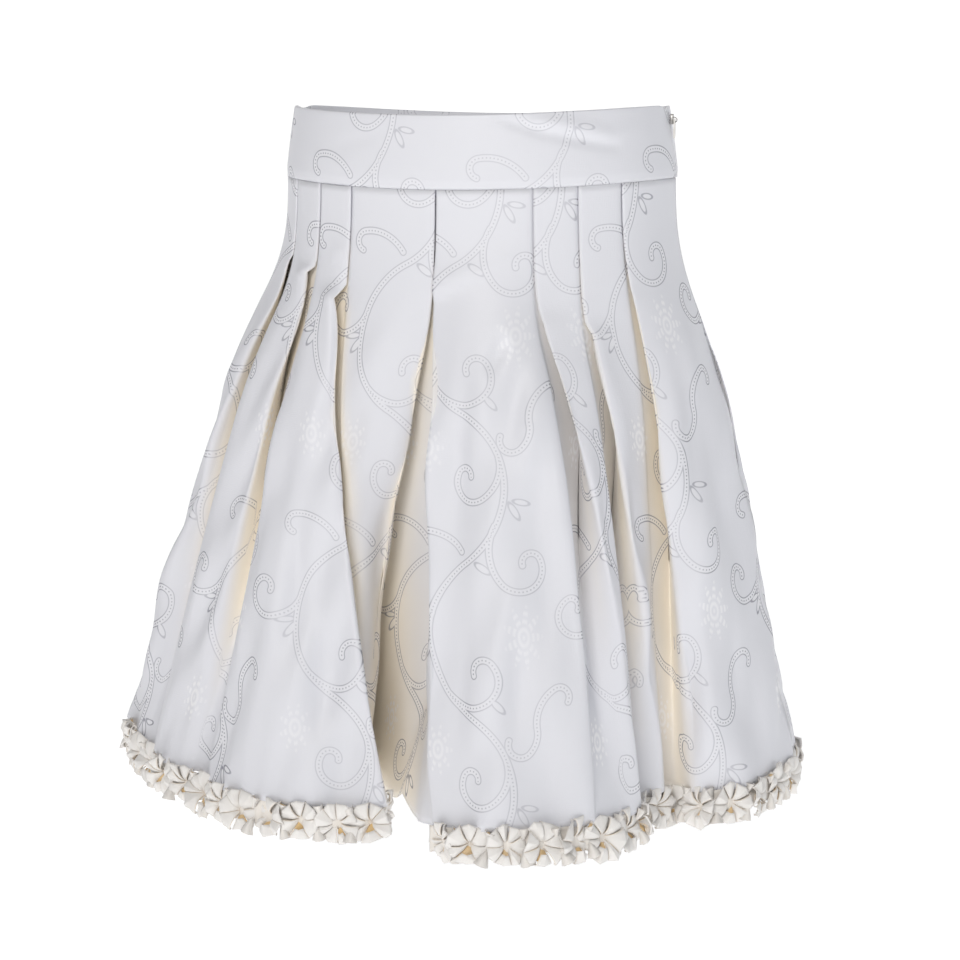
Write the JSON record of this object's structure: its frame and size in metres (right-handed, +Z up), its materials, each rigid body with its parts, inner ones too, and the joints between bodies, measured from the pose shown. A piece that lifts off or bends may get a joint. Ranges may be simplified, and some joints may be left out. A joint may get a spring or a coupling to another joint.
{
  "type": "dirndl skirt",
  "caption": "Pleated dirndl skirt in cream scroll brocade with a contoured waistband, a concealed side zip and a ruched rosette trim round the hem.",
  "frame": {"origin": "centre of the waist opening, half way up the waistband", "axes": "+Z up, the front faces -Y, +X is the wearer's left"},
  "size_m": [0.5255, 0.4107, 0.5267],
  "materials": {
    "band_cloth": "cream scroll brocade, soft satin sheen, interlined",
    "skirt_cloth": "cream scroll brocade, soft satin sheen",
    "trim_cloth": "plain cream satin weave, folded and pinched",
    "zip_tape": "plain woven tape with a fine nylon coil",
    "zip_metal": "dull nickel",
    "zip_pull": "cream lacquer"
  },
  "bodies": {
    "skirt": {"waistband_front": "band_cloth", "waistband_back": "band_cloth", "skirt_front": "skirt_cloth", "skirt_back": "skirt_cloth", "hem_trim_front_right": "trim_cloth", "hem_trim_front_left": "trim_cloth", "hem_trim_back_left": "trim_cloth", "hem_trim_back_right": "trim_cloth", "zip_tape": "zip_tape", "zip_slider": "zip_metal"},
    "pull": {"zip_pull": "zip_pull"}
  },
  "joints": [
    {"name": "pull_hinge", "type": "hinge", "parent": "skirt", "child": "pull", "pos_m": [0.14769, 0, 0.0155], "axis": [0, -1, 0], "range_deg": [0, 150]}
  ]
}
